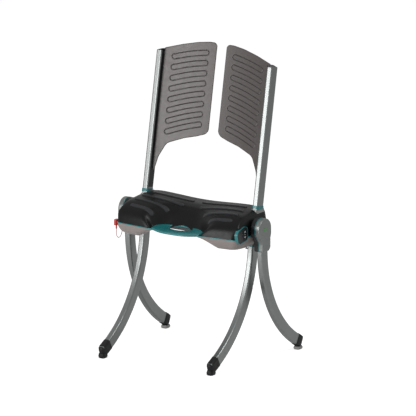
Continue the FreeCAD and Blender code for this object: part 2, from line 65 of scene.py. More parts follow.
SEAT_LOW, SEAT_HIGH = span("seat_top_shell")
UNDER_FLOOR = span("seat_under_shell")[0].z
HANDLE_LOW, HANDLE_HIGH = span("carry_handle")
POST_LOW, POST_HIGH = span("back_post_left")
PANEL_LOW, PANEL_HIGH = span("back_panel_left")
BEZEL_FACE = span("panel_bezel")[1].x
SEAT_HALF = SEAT_HIGH.x
SEAT_BACK = SEAT_HIGH.y
RIM_Z = SEAT_LOW.z                       # lower edge of the upper shell
POST_X = (POST_LOW.x + POST_HIGH.x) / 2


# ---- small tools -----------------------------------------------------------------------------------
def rounded_path(corners, closed=True, arc_step=3.0):
    """Points along straight lines and corner arcs; each corner is (a, b, radius)."""
    points = []
    count = len(corners)
    for i, (a, b, radius) in enumerate(corners):
        here = Vector((a, b))
        if radius <= 0 or (not closed and i in (0, count - 1)):
            points.append(here)
            continue
        before = (Vector(corners[i - 1][:2]) - here).normalized()
        after = (Vector(corners[(i + 1) % count][:2]) - here).normalized()
        half = before.angle(after) / 2
        reach = radius / math.tan(half)
        centre = here + (before + after).normalized() * (radius / math.sin(half))
        start, end = here + before * reach - centre, here + after * reach - centre
        steps = max(2, int(radius * start.angle(end) / arc_step) + 1)
        turn = start.angle_signed(end)
        for k in range(steps + 1):
            points.append(centre + Matrix.Rotation(-turn * k / steps, 2) @ start)
    return [(p.x, p.y) for p in points]


def resample(points, count, closed=False):
    """The same path as evenly spaced points."""
    path = np.array(points + points[:1] if closed else points, float)
    lengths = np.concatenate([[0], np.cumsum(np.linalg.norm(np.diff(path, axis=0), axis=1))])
    at = np.linspace(0, lengths[-1], count, endpoint=not closed)
    return np.stack([np.interp(at, lengths, path[:, k]) for k in range(path.shape[1])], axis=1)


def new_object(name, data):
    """Object of that data, linked to the scene."""
    item = bpy.data.objects.new(name, data)
    bpy.context.scene.collection.objects.link(item)
    return item


def mesh_piece(name, vertices, faces, material, smooth_angle=40.0, groove=None):
    """New object from points in millimetres; the optional mark gives the points of the panel's grooves, whose
    finish is darkened partly as painted shade.
    """
    mesh = bpy.data.meshes.new(name)
    mesh.from_pydata([tuple(float(c) * MM for c in v) for v in vertices], [], [tuple(f) for f in faces])
    if groove is not None:
        mesh.attributes.new("groove", "FLOAT", "POINT").data.foreach_set("value", groove)
    tool = bmesh.new()
    tool.from_mesh(mesh)
    bmesh.ops.remove_doubles(tool, verts=tool.verts, dist=0.01 * MM)
    bmesh.ops.dissolve_degenerate(tool, edges=tool.edges, dist=0.005 * MM)
    bmesh.ops.recalc_face_normals(tool, faces=tool.faces)
    tool.to_mesh(mesh)
    tool.free()
    mesh.shade_smooth()
    mesh.set_sharp_from_angle(angle=math.radians(smooth_angle))
    mesh.materials.append(material)
    return new_object(name, mesh)


def quads(rows, columns, wrap=False):
    """Faces of a grid of rows by columns points; wrap joins the last column to the first."""
    last = columns if wrap else columns - 1
    return [(r * columns + c, r * columns + (c + 1) % columns, (r + 1) * columns + (c + 1) % columns,
             (r + 1) * columns + c) for r in range(rows - 1) for c in range(last)]


def apply_modifiers(piece):
    """Replaces the mesh by what its modifiers make of it."""
    graph = bpy.context.evaluated_depsgraph_get()
    mesh = bpy.data.meshes.new_from_object(piece.evaluated_get(graph))
    piece.modifiers.clear()
    old = piece.data
    piece.data = mesh
    bpy.data.meshes.remove(old)


def smooth_least(a, b, width):
    """The smaller of two heights with a round transition."""
    h = np.clip(0.5 + 0.5 * (b - a) / width, 0, 1)
    return b * (1 - h) + a * h - width * h * (1 - h)


def smooth_step(value, low, high):
    """Rises smoothly from 0 at low to 1 at high."""
    t = np.clip((value - low) / (high - low), 0, 1)
    return t * t * (3 - 2 * t)


def place(piece, body, slot, *replaced):
    """Lets a piece ride on its body and stand for CAD nodes; its slot is not used."""
    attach(piece, body)
    if replaced:
        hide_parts(*replaced)
    return piece


# ---- finishes --------------------------------------------------------------------------------------
def linear(hex_colour):
    """sRGB hex to the linear colour that a shader takes."""
    channels = [int(hex_colour[i:i + 2], 16) / 255 for i in (1, 3, 5)]
    return tuple(c / 12.92 if c <= 0.04045 else ((c + 0.055) / 1.055) ** 2.4 for c in channels) + (1.0,)


def shade(colour, factor):
    """The same colour a little darker or lighter."""
    return tuple(min(c * factor, 1.0) for c in colour[:3]) + (1.0,)


def add(tree, kind, sockets=None, **settings):
    """Adds a shader node; a socket given as an input is linked, any other value is set."""
    item = tree.nodes.new(kind)
    for key, value in settings.items():
        setattr(item, key, value)
    for key, value in (sockets or {}).items():
        if isinstance(value, bpy.types.NodeSocket):
            tree.links.new(value, item.inputs[key])
        else:
            item.inputs[key].default_value = value
    return item


def finish(name, **surface):
    """Material with one Principled shader whose plain sockets are set directly."""
    material = bpy.data.materials.new(name)
    material.use_nodes = True
    tree = material.node_tree
    tree.nodes.clear()
    names = {"colour": "Base Color", "roughness": "Roughness", "metallic": "Metallic", "ior": "IOR",
             "coat": "Coat Weight", "coat_roughness": "Coat Roughness", "sheen": "Sheen Weight"}
    shader = add(tree, "ShaderNodeBsdfPrincipled", {names[key]: value for key, value in surface.items()})
    add(tree, "ShaderNodeOutputMaterial", {"Surface": shader.outputs[0]})
    return material, tree, shader


def texture(tree, kind, size_mm, **sockets):
    """Pattern in the object's own metres, with one feature about size_mm across."""
    where = add(tree, "ShaderNodeTexCoord").outputs["Object"]
    return add(tree, kind, {"Vector": where, "Scale": 1.0 / (size_mm * MM), **sockets})


def colour_drift(tree, shader, colour, spread, size_mm):
    """Slow change between two close shades, as pigment and handling leave it."""
    cloud = texture(tree, "ShaderNodeTexNoise", size_mm, Detail=3.0)
    blend = add(tree, "ShaderNodeMix", {0: cloud.outputs["Fac"], "A": shade(colour, 1 - spread),
                                        "B": shade(colour, 1 + spread)}, data_type="RGBA")
    tree.links.new(blend.outputs["Result"], shader.inputs["Base Color"])
    return blend


def cells(tree, shader, size_mm, colour, middle, edge):
    """Small cells whose shade runs from the middle to the edge."""
    cell = texture(tree, "ShaderNodeTexVoronoi", size_mm)
    ramp = add(tree, "ShaderNodeMix", {0: cell.outputs["Distance"], "A": shade(colour, middle),
                                       "B": shade(colour, edge)}, data_type="RGBA")
    tree.links.new(ramp.outputs["Result"], shader.inputs["Base Color"])
    return cell


def worn_roughness(tree, shader, size_mm, detail, low, high):
    """Roughness that drifts between low and high, as handling leaves it."""
    wear = texture(tree, "ShaderNodeTexNoise", size_mm, Detail=detail)
    spread = add(tree, "ShaderNodeMapRange", {"Value": wear.outputs["Fac"], "From Min": 0.3,
                                              "From Max": 0.7, "To Min": low, "To Max": high})
    tree.links.new(spread.outputs["Result"], shader.inputs["Roughness"])


def surface_grain(tree, shader, size_mm, height_mm, low, high, detail=2.0):
    """Fine bumps of a real height, and the roughness that goes with them."""
    grain = texture(tree, "ShaderNodeTexNoise", size_mm, Detail=detail)
    bump = add(tree, "ShaderNodeBump", {"Height": grain.outputs["Fac"], "Strength": 1.0,
                                        "Distance": height_mm * MM})
    tree.links.new(bump.outputs["Normal"], shader.inputs["Normal"])
    worn_roughness(tree, shader, 14 * size_mm, 1.0, low, high)


def spark_textured_pp(name, colour, roughness=(0.30, 0.40)):
    """Polypropylene moulded in a spark-eroded tool: fine even grain, soft broad highlights.
    The real grain is about 0.2 mm; it is drawn coarser so that it shows."""
    material, tree, shader = finish(name, ior=1.38)
    colour_drift(tree, shader, colour, 0.12, 60.0)
    surface_grain(tree, shader, 0.9, 0.006, *roughness)
    return material


def pp_with_painted_light(name, colour, second_colour, marked, ior):
    """Satin moulded polypropylene with a second tone laid on by a mark: the grooves of a panel are
    darker, partly as painted shade and partly as their own dark line; the grip ribs of the seat are paler as
    a painted highlight."""
    material, tree, shader = finish(name, ior=ior)
    drift = colour_drift(tree, shader, colour, 0.07, 80.0)
    mark = add(tree, "ShaderNodeAttribute", attribute_name=marked)
    mixed = add(tree, "ShaderNodeMix", {0: mark.outputs["Fac"], "A": drift.outputs["Result"],
                                        "B": second_colour}, data_type="RGBA")
    tree.links.new(mixed.outputs["Result"], shader.inputs["Base Color"])
    surface_grain(tree, shader, 0.9, 0.005, 0.32, 0.38)
    return material


def blasted_anodised(name, colour):
    """Glass-bead blasted and anodised aluminium tube: even, soft reflections drawn out along it.
    The blasted grain is under 0.05 mm, so it shows only as roughness that drifts along the tube."""
    material, tree, shader = finish(name, metallic=1.0)
    colour_drift(tree, shader, colour, 0.08, 60.0)
    worn_roughness(tree, shader, 25.0, 4.0, 0.32, 0.35)
    return material


def silver_paint(name, colour):
    """Silver metal-flake paint on a casting: flakes vary in brightness under a thin clear coat."""
    material, tree, shader = finish(name, metallic=0.7, coat=0.25, coat_roughness=0.15)
    cells(tree, shader, 0.8, colour, 0.85, 1.2)
    surface_grain(tree, shader, 1.5, 0.003, 0.34, 0.42)
    return material


def satin_paint(name, colour):
    """Satin paint over a moulding: slight orange peel about 2 mm across."""
    material, tree, shader = finish(name, coat=0.1, coat_roughness=0.3)
    colour_drift(tree, shader, colour, 0.06, 70.0)
    surface_grain(tree, shader, 2.0, 0.006, 0.36, 0.46)
    return material


def smooth_abs(name, colour, roughness=(0.22, 0.32)):
    """ABS from a polished tool: clean edges and a clear highlight."""
    material, tree, shader = finish(name, ior=1.53)
    colour_drift(tree, shader, colour, 0.08, 40.0)
    surface_grain(tree, shader, 1.6, 0.002, *roughness)
    return material


def moulded_rubber(name, colour):
    """Carbon-filled rubber: nearly matt, with a faint dusty bloom."""
    material, tree, shader = finish(name, ior=1.33, sheen=0.02)
    colour_drift(tree, shader, colour, 0.18, 14.0)
    surface_grain(tree, shader, 0.9, 0.04, 0.42, 0.58)
    return material


def ground_steel(name, colour):
    """Turned or ground steel: fine marks across the axis, drawn 0.6 mm apart so that they show."""
    material, tree, shader = finish(name, metallic=1.0)
    colour_drift(tree, shader, colour, 0.1, 20.0)
    surface_grain(tree, shader, 0.6, 0.01, 0.28, 0.42, 4.0)
    return material


def braided_cord(name, colour):
    """Braided polyester lanyard: plait about 1 mm long crosses the cord."""
    material, tree, shader = finish(name, roughness=0.75, sheen=0.3)
    plait = cells(tree, shader, 1.0, colour, 1.4, 0.6)
    bump = add(tree, "ShaderNodeBump", {"Height": plait.outputs["Distance"], "Distance": 0.2 * MM})
    tree.links.new(bump.outputs["Normal"], shader.inputs["Normal"])
    return material


RECIPES = {
    "shell": (satin_paint, "shell_paint_grey"), "teal": (smooth_abs, "trim_abs_teal"),
    "tube": (blasted_anodised, "tube_anodised_aluminium"),
    "strip": (spark_textured_pp, "strip_pvc_black"), "knuckle": (spark_textured_pp, "knuckle_pa_black"),
    "cover": (silver_paint, "knuckle_paint_silver"), "rubber": (moulded_rubber, "foot_rubber_black"),
    "sole": (moulded_rubber, "sole_rubber_grey"), "plate": (smooth_abs, "control_film_black"),
    "key": (smooth_abs, "key_abs_red"), "cord": (braided_cord, "lanyard_polyester_red"),
    "green": (smooth_abs, "inlay_abs_green"), "mark": (smooth_abs, "mark_ink_pale"),
    "steel": (ground_steel, "shaft_ground_steel"), "bronze": (ground_steel, "bearing_sintered_bronze"),
    "powder": (satin_paint, "frame_powder_coat"), "alloy": (silver_paint, "socket_cast_alloy"),
    "motor": (satin_paint, "motor_can_paint"), "battery": (smooth_abs, "battery_wrap_blue"),
    "board": (smooth_abs, "board_solder_mask"),
}
# Painted light in the second tone: the panel's grooves are darkened partly as painted shade, and the seat's
# ribs are lightened as a painted highlight.
PAINTED_LIGHT_TONES = {"panel": ("back_panel_pp_grey", "groove", 1.49), "seat": ("seat_pp_black", "rib", 1.30)}
INNER_COLOURS = {"steel": "#8F9092", "bronze": "#9A7A45", "powder": "#3A3C3E", "alloy": "#8A8C8C",
                 "motor": "#24262A", "battery": "#1D3A78", "board": "#11582F"}


def material_for(name):
    """The finish of that name, made once from the colours in the sidebar."""
    colours = bpy.context.scene.chair_colours
    if name in PAINTED_LIGHT_TONES:
        label, marked, ior = PAINTED_LIGHT_TONES[name]
        if label not in bpy.data.materials:
            pp_with_painted_light(label, getattr(colours, name), shade(getattr(colours, marked), 1.0), marked, ior)
        return bpy.data.materials[label]
    recipe, label = RECIPES[name]
    if label not in bpy.data.materials:
        colour = linear(INNER_COLOURS[name]) if name in INNER_COLOURS else getattr(colours, name)
        recipe(label, colour)
    return bpy.data.materials[label]


# ---- curved panels of the backrest -----------------------------------------------------------------
POST_LEAN = math.radians(10.85)
POST_FOOT = (46.5, 486.0)                # y and z where a post's centreline leaves the seat
PANEL_INNER_X = PANEL_LOW.x
PANEL_OUTER_X = PANEL_HIGH.x
PANEL_SETBACK = 19.0
PANEL_THICK = 4.5
PANEL_TOP = [(17.5, 300, 0), (17.5, 480, 13), (45, 480, 60), (85, 474, 120), (137, 461, 120),
             (194, 443, 0)]
PANEL_BOTTOM = [(17.5, 300, 0), (17.5, 196, 24), (58, 182, 40), (100, 171, 80), (158, 148, 34),
                (181, 102, 40), (190, 62, 8), (194, 58, 0)]
SLOT_PITCH = 32.6
SLOT_HALF_HEIGHT = 8.0
SLOT_SPAN = (44.0, 168.0)                # x of the slots' inner and outer ends
GROOVE_HALF = 1.5
EDGE_ROUND = 1.6                         # round-off of the panel's rim


def back_point(x, along, back):
    """Point of the backrest: x, distance up the post, distance behind the post's centre."""
    return (x, POST_FOOT[0] + along * math.sin(POST_LEAN) + back * math.cos(POST_LEAN),
            POST_FOOT[1] + along * math.cos(POST_LEAN) - back * math.sin(POST_LEAN))


def edge_height(path, x):
    """Height of an edge path at x, for a path that runs outwards."""
    xs, heights = np.array(path).T
    keep = np.concatenate([[True], np.diff(xs) > 1e-6])
    return np.interp(x, xs[keep], heights[keep])


def slot_distance(x, along, count):
    """Distance from the nearest slot outline, for points of the panel."""
    inner_x, outer_x = SLOT_SPAN
    nearest = np.full(x.shape, 1e9)
    for i in range(count):
        inner = 445.0 - i * (SLOT_PITCH - 0.5)
        outer = 419.0 - i * (SLOT_PITCH + 1.0)
        a, b = np.array([inner_x + SLOT_HALF_HEIGHT, inner]), np.array([outer_x - SLOT_HALF_HEIGHT, outer])
        run = b - a
        t = np.clip(((x - a[0]) * run[0] + (along - a[1]) * run[1]) / (run @ run), 0, 1)
        bow = 2.5 * np.sin(math.pi * t)
        gap = np.hypot(x - a[0] - t * run[0], along - a[1] - t * run[1] - bow)
        nearest = np.minimum(nearest, np.abs(gap - SLOT_HALF_HEIGHT))
    return nearest


def build_panel(side, shape, material):
    """One moulded half of the backrest: a bowed sheet with slot-shaped grooves."""
    sign = SIDES[side]
    columns, rows = 140, 230
    spread = np.linspace(0, 1, columns)
    x = PANEL_INNER_X + (PANEL_OUTER_X - PANEL_INNER_X) * (spread - 0.06 * np.sin(2 * math.pi * spread))
    top = edge_height(rounded_path(PANEL_TOP, False, 0.8), x)
    bottom = edge_height(rounded_path(PANEL_BOTTOM, False, 0.8), x)
    share = np.linspace(0, 1, rows)[:, None]
    along = bottom[None, :] + (top - bottom)[None, :] * share
    xx = np.broadcast_to(x[None, :], along.shape)
    back = PANEL_SETBACK * (1 - (xx / PANEL_OUTER_X) ** 2)
    # Groove profile: it sets the groove depth and marks where the finish paints the grooves darker, partly as
    # painted shade of the recess and partly as the groove's own dark line.
    groove = np.clip(1 - slot_distance(xx, along, shape.slots) / GROOVE_HALF, 0, 1)
    groove = groove * groove * (3 - 2 * groove)
    rim = np.minimum(np.minimum(along - bottom, top - along), xx - PANEL_INNER_X)
    round_off = EDGE_ROUND * (1 - np.sqrt(np.clip(1 - (1 - np.clip(rim / 2.0, 0, 1)) ** 2, 0, 1)))
    front = back + groove * shape.groove_depth / MM + round_off
    rear = back + PANEL_THICK - round_off
    points, marks = [], []
    for depth, mark in ((front, groove), (rear, groove * 0)):
        for r in range(rows):
            for c in range(columns):
                px, py, pz = back_point(xx[r, c], along[r, c], depth[r, c])
                points.append((sign * px, py, pz))
                marks.append(mark[r, c])
    size = rows * columns
    front_faces = quads(rows, columns)
    faces = front_faces + [tuple(size + i for i in reversed(face)) for face in front_faces]
    border = (list(range(columns)) + [r * columns + columns - 1 for r in range(1, rows)]
              + [(rows - 1) * columns + c for c in range(columns - 2, -1, -1)]
              + [r * columns for r in range(rows - 2, 0, -1)])
    faces += [(a, size + a, size + b, b) for a, b in zip(border, border[1:] + border[:1])]
    piece = mesh_piece(f"back_panel_{side}_skin", points, faces, material, 50,
                       np.array(marks, np.float32))
    return place(piece, f"back_{side}", "panel_grey", f"back_panel_{side}")


# ---- seat shells -----------------------------------------------------------------------------------
SEAT_PROFILE = [(-106.0, RIM_Z, 0), (-99, 444, 50), (-56, 474, 80), (12, 485, 160), (76, 486, 14),
                (76, RIM_Z, 0)]
SEAT_SECTION = [(-224, RIM_Z, 0), (-224, 446, 46), (-212, 479, 22), (-165, 491, 0)]
SADDLE_DIP = 9.0
SEAT_BOW = 14.0                          # how far the middle of the front stands forward
VALLEY_HALF = 22.0                       # half width of the hollow at its rear end
VALLEY_WIDE = 84.0                       # half width at the handle
VALLEY_FOOT = -84.0                      # where its rear wall meets the handle
VALLEY_FLANK = 66.0                      # width of its flanks
VALLEY_RISE = 76.0                       # height and length of its rear wall
SOFTEN_PASSES = 90
SKIN_HOLE = (42.0, 20.0, -85.0)          # half width, half depth and y of the gap over the hand hole
RIBS = [(15, 175, 22), (29, 188, -15), (64, 192, -50), (100, 188, -82)]   # inner x, outer x, y
RIB_HALF = 5.5
RIB_FLOOR = 440                          # ribs stand only above this height
SEAM_GAP = 1.5                           # half height of the coloured trim
ARCH = (26.0, 12.0, 172, 106)            # height of the middle arch, more at the front, half span, ramp
FRONT_LIFT = 5.0                         # rise of the floor towards the front


def corner_square_to_round(x, y, half_x, front, back, radius):
    """Moves points of a rectangle so that its corners become round."""
    middle = (front + back) / 2
    half_y = (back - front) / 2
    p = np.clip((np.abs(x) - half_x + radius) / radius, 0, 1)
    q = np.clip((np.abs(y - middle) - half_y + radius) / radius, 0, 1)
    shrink_p = p * np.sqrt(1 - q * q / 2) - p
    shrink_q = q * np.sqrt(1 - p * p / 2) - q
    return x + np.sign(x) * shrink_p * radius, y + np.sign(y - middle) * shrink_q * radius


def front_bow(x):
    """How far the seat's front stands before a straight line."""
    return SEAT_BOW * np.cos(np.clip(np.abs(x) / 215.0, 0, 1) * math.pi / 2) ** 0.8


def valley_height(x, y):
    """Height of the soft hollow that widens forwards to the carry handle."""
    ahead = -y - 50.0
    half = np.minimum(VALLEY_HALF + 0.65 * (ahead + np.sqrt(ahead ** 2 + 400.0)), VALLEY_WIDE)
    side = np.maximum(np.abs(x) - half, 0) / VALLEY_FLANK
    rear = np.maximum(y - VALLEY_FOOT, 0) / VALLEY_RISE
    t = np.clip(np.sqrt(side ** 2 + rear ** 2), 0, 1.4)
    return RIM_Z - 2.0 + VALLEY_RISE * np.where(t < 1, t * t * (3 - 2 * t), 1 + 0.9 * (t - 1))


def rib_mark(x, y):
    """How much each point stands up in a moulded grip rib, 0 to 1."""
    height = np.zeros(x.shape)
    for inner, outer, rib_y in RIBS:
        a, b = inner + RIB_HALF, outer - RIB_HALF
        line = rib_y + 6.0 * (np.abs(x) - a) / (b - a)
        beyond = np.maximum(np.maximum(a - np.abs(x), np.abs(x) - b), 0)
        gap = np.hypot(beyond, y - line)
        height = np.maximum(height, 1 - smooth_step(gap, RIB_HALF - 1.0, RIB_HALF + 0.3))
    return height


def cut_pocket(piece, x, tilt, centre, width, depth, reach):
    """Opens a rectangular hole round a tube that leans by tilt about X; sizes in millimetres."""
    along = Vector((0, math.sin(tilt), math.cos(tilt)))
    across = Vector((0, math.cos(tilt), -math.sin(tilt)))
    middle = Vector((x, *centre)) * MM
    tool = bmesh.new()
    tool.from_mesh(piece.data)
    for direction, half in ((Vector((1, 0, 0)), width / 2), (across, depth / 2)):
        for sign in (1, -1):
            near = [face for face in tool.faces
                    if (face.calc_center_median() - middle).length < reach * MM]
            parts = near + list({e for f in near for e in f.edges}) + list({v for f in near for v in f.verts})
            bmesh.ops.bisect_plane(tool, geom=parts, plane_co=middle + direction * half * sign * MM,
                                   plane_no=direction, dist=1e-6)
    inside = []
    for face in tool.faces:
        offset = face.calc_center_median() - middle
        if (abs(offset.x) < width / 2 * MM and abs(offset.dot(across)) < depth / 2 * MM
                and abs(offset.dot(along)) < reach * MM):
            inside.append(face)
    bmesh.ops.delete(tool, geom=inside, context="FACES")
    tool.to_mesh(piece.data)
    tool.free()


def soften(z, share, passes):
    """Evens out the creases of a height grid where share is 1 and leaves it alone where it is 0."""
    for _ in range(passes):
        edged = np.pad(z, 1, mode="edge")
        around = (edged[:-2, 1:-1] + edged[2:, 1:-1] + edged[1:-1, :-2] + edged[1:-1, 2:]) / 4
        z = z + share * (around - z)
    return z


def build_top_shell(shape, material):
    """Saddle-shaped moulded seat with grip ribs and a soft hollow over the carry handle."""
    rows, columns = 300, 420
    profile = resample(rounded_path(SEAT_PROFILE, False), rows)
    half = rounded_path(SEAT_SECTION, False)
    section = resample(half + [(-x, z) for x, z in reversed(half)], columns)
    y = np.broadcast_to(profile[:, 0][:, None], (rows, columns)).copy()
    x = np.broadcast_to(section[:, 0][None, :], (rows, columns)).copy()
    share = np.clip(np.abs(x) / 192.0, 0, 1)
    dip = (SADDLE_DIP + 4.0 * np.exp(-((y + 50) / 26.0) ** 2)) * np.cos(share * math.pi / 2) ** 2
    dip = dip * smooth_step(profile[:, 1][:, None], RIM_Z + 15, 470)
    z = smooth_least(profile[:, 1][:, None] - dip, section[:, 1][None, :], 20.0)
    z = np.maximum(z, RIM_Z)
    y = y - front_bow(x) * smooth_step(-y, 40, 106)
    x, y = corner_square_to_round(x, y, SEAT_HALF, y.min(axis=0)[None, :], SEAT_BACK,
                                  shape.corner / MM)
    hollow = valley_height(x, y)
    z = np.where(y < 40, np.maximum(smooth_least(z, hollow, 26.0), RIM_Z), z)
    share = smooth_step(z, RIM_Z + 3, RIM_Z + 26)
    y, z = soften(y, share, SOFTEN_PASSES), soften(z, share, SOFTEN_PASSES)
    z = z + shape.rib_height / MM * rib_mark(x, y) * (z > RIB_FLOOR)
    points = list(zip(x.ravel(), y.ravel(), z.ravel()))
    rim = RIM_Z + 0.05
    wide, deep, hole_y = SKIN_HOLE
    in_hole = ((x / wide) ** 2 + ((y - hole_y) / deep) ** 2 < 1).ravel() & (z < RIB_FLOOR).ravel()
    faces = [face for face in quads(rows, columns)
             if any(points[i][2] > rim for i in face) and not all(in_hole[i] for i in face)]
    piece = mesh_piece("seat_top_skin", points, faces, material, 60)
    # Painted highlight: the rib mark tells the finish to paint the raised ribs paler, as if they caught the
    # light.
    where = np.array([v.co for v in piece.data.vertices]) / MM
    mark = piece.data.attributes.new("rib", "FLOAT", "POINT")
    mark.data.foreach_set("value", rib_mark(where[:, 0], where[:, 1]) * (where[:, 2] > RIB_FLOOR))
    for sign in (1, -1):
        cut_pocket(piece, sign * POST_X, POST_LEAN, POST_FOOT, 20.6, 35.6, 40)
    return place(piece, "seat", "top_shell", "seat_top_shell")


def plan_loop(corners, inset, count):
    """The seat's plan moved inwards by inset, as evenly spaced points."""
    moved = []
    for i, (x, y, radius) in enumerate(corners):
        here = Vector((x, y))
        into = (here - Vector(corners[i - 1][:2])).normalized()
        onward = (Vector(corners[(i + 1) % len(corners)][:2]) - here).normalized()
        left_in, left_out = Vector((-into.y, into.x)), Vector((-onward.y, onward.x))
        shift = (left_in + left_out) / (1 + left_in.dot(left_out))
        convex = into.x * onward.y - into.y * onward.x > 0
        point = here + shift * inset
        moved.append((point.x, point.y, radius + (0.25 * inset if convex else 0.5 * inset)))
    return resample(rounded_path(moved, True, 1.2), count, True)


PLAN = [(0, 76, 0), (-224, 76, 20), (-224, -105, 18), (-95, -119, 60), (95, -119, 60), (224, -105, 18),
        (224, 76, 20)]
UNDER_PLAN = [(0, 76, 0), (-224, 76, 20), (-224, -105, 18), (-95, -119, 60), (-66, -120, 5),
              (-60, -48, 22), (60, -48, 22), (66, -120, 5), (95, -119, 60), (224, -105, 18), (224, 76, 20)]


def build_under_shell(shape, material):
    """Painted lower shell: round-bottomed sides, arched in the middle under the handle."""
    count, levels = 560, 14
    rings = []
    top = RIM_Z - 2 * SEAM_GAP
    height, extra, span_half, ramp = ARCH
    for k in range(levels + 1):
        angle = math.pi / 2 * k / levels
        loop = plan_loop(UNDER_PLAN, shape.under_round / MM * (1 - math.cos(angle)), count)
        front = np.clip(-loop[:, 1] / 48.0, 0, 1)
        arch = (height + extra * front) * smooth_step(span_half - np.abs(loop[:, 0]), 0, ramp)
        lift = FRONT_LIFT * smooth_step(-loop[:, 1], 20, 110)
        floor = UNDER_FLOOR + np.maximum(arch, lift)
        rings.append(np.column_stack([loop, top - (top - floor) * math.sin(angle)]))
    points = [tuple(p) for ring in rings for p in ring]
    faces = quads(levels + 1, count, True)
    start = levels * count
    half, quarter = count // 2, count // 4
    faces += [(start + i, start + i + 1, start + half - i - 1, start + half - i) for i in range(quarter)]
    faces += [(start + half + i, start + half + i + 1, start + (count - i - 1), start + (count - i) % count)
              for i in range(quarter)]
    piece = mesh_piece("seat_under_skin", points, faces, material, 40)
    return place(piece, "seat", "under_shell", "seat_under_shell")


def build_seam_trim(material):
    """Coloured bead round the seam between the shells, open behind the carry handle."""
    count = 560
    bead = [(-1.0, -1.2), (0.6, -1.4), (1.1, -0.6), (1.1, 0.6), (0.6, 1.4), (-1.0, 1.2)]
    loops = [plan_loop(PLAN, -out, count) for out, rise in bead]
    points = [(x, y, RIM_Z - SEAM_GAP + rise) for loop, (out, rise) in zip(loops, bead) for x, y in loop]
    faces = [face for face in quads(len(bead), count, True)
             if not (points[face[0]][1] < -80 and abs(points[face[0]][0]) < HANDLE_HIGH.x - 6)]
    piece = mesh_piece("seam_trim_bead", points, faces, material, 50)
    return place(piece, "seat", "teal_trim", "seam_trim")


HANDLE_RISE = 0.10                       # slope of the handle towards the seat
HANDLE_FRONT = -136
HANDLE_ROUND = 3.4                       # rounding of its edge
HAND_HOLE = (85.0, 45.0)                 # width and depth of the hand hole
HAND_HOLE_Y = -80
HANDLE_PLAN = [(-89, -115, 6), (-42, -136, 120), (42, -136, 120), (89, -115, 6), (86, -46, 8),
               (-86, -46, 8)]


def build_handle(material):
    """Carry handle: flat tongue with a full round front edge and an oval hand hole."""
    count = 420
    thick = HANDLE_HIGH.z - HANDLE_LOW.z
    middle = (HANDLE_HIGH.z + HANDLE_LOW.z) / 2
    bead = [(math.cos(a), math.sin(a)) for a in np.linspace(-math.pi / 2, math.pi / 2, 13)]
    outer = [(plan_loop(HANDLE_PLAN, HANDLE_ROUND * (1 - out), count), middle + rise * thick / 2)
             for out, rise in bead]
    width, depth = HAND_HOLE
    lip = []
    for out, rise in reversed(bead):
        grow = 1 + 2.0 * (1 - out) / (width / 2)
        loop = []
        for px, py in outer[0][0]:
            t = math.atan2((py - HAND_HOLE_Y) / depth, px / width)
            loop.append((grow * width / 2 * math.cos(t), HAND_HOLE_Y + grow * depth / 2 * math.sin(t)))
        lip.append((np.array(loop), middle + rise * thick / 2))
    rings = outer + lip + [outer[0]]
    points = [(x, y, z + HANDLE_RISE * (y - HANDLE_FRONT)) for loop, z in rings for x, y in loop]
    piece = mesh_piece("carry_handle_skin", points, quads(len(rings), count, True), material, 40)
    return place(piece, "seat", "teal_handle", "carry_handle")


# ---- softened castings and marks -------------------------------------------------------------------
def copy_of(nodes, name, material):
    """One mesh with the same faces as the CAD nodes."""
    tool = bmesh.new()
    for node in nodes:
        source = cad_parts[node]
        start = len(tool.verts)
        tool.from_mesh(source.data)
        tool.verts.ensure_lookup_table()
        bmesh.ops.transform(tool, matrix=source.matrix_world, verts=tool.verts[start:])
    bmesh.ops.remove_doubles(tool, verts=tool.verts, dist=0.02 * MM)
    mesh = bpy.data.meshes.new(name)
    tool.to_mesh(mesh)
    tool.free()
    mesh.materials.clear()
    mesh.materials.append(material)
    return new_object(name, mesh)


def melt(piece, grid_mm, passes):
    """Rounds every edge of a closed piece as casting and moulding leave it."""
    remesh = piece.modifiers.new("grid", "REMESH")
    remesh.mode = "VOXEL"
    remesh.voxel_size = grid_mm * MM
    relax = piece.modifiers.new("relax", "SMOOTH")
    relax.factor = 0.5
    relax.iterations = passes
    apply_modifiers(piece)
    piece.data.shade_smooth()
    return piece


FEET = {"front": (200.0, -375.0, 390.0, 400.0, 1, 68.2, 46.0),    # x, arc centre y and z, radius,
        "rear": (245.0, 384.5, 361.6, 376.0, -1, 65.0, 34.0)}     # direction, end angle, length
BOOT_SECTION = [(-11.4, -18.9, 7), (11.4, -18.9, 7), (11.4, 18.9, 7), (-11.4, 18.9, 7)]
BOOT_DOME = 20.0                         # length of the domed tip
SOLES = {"front": (-213.5, 15.0), "rear": (211.0, 10.0)}          # y and height of the sole pads


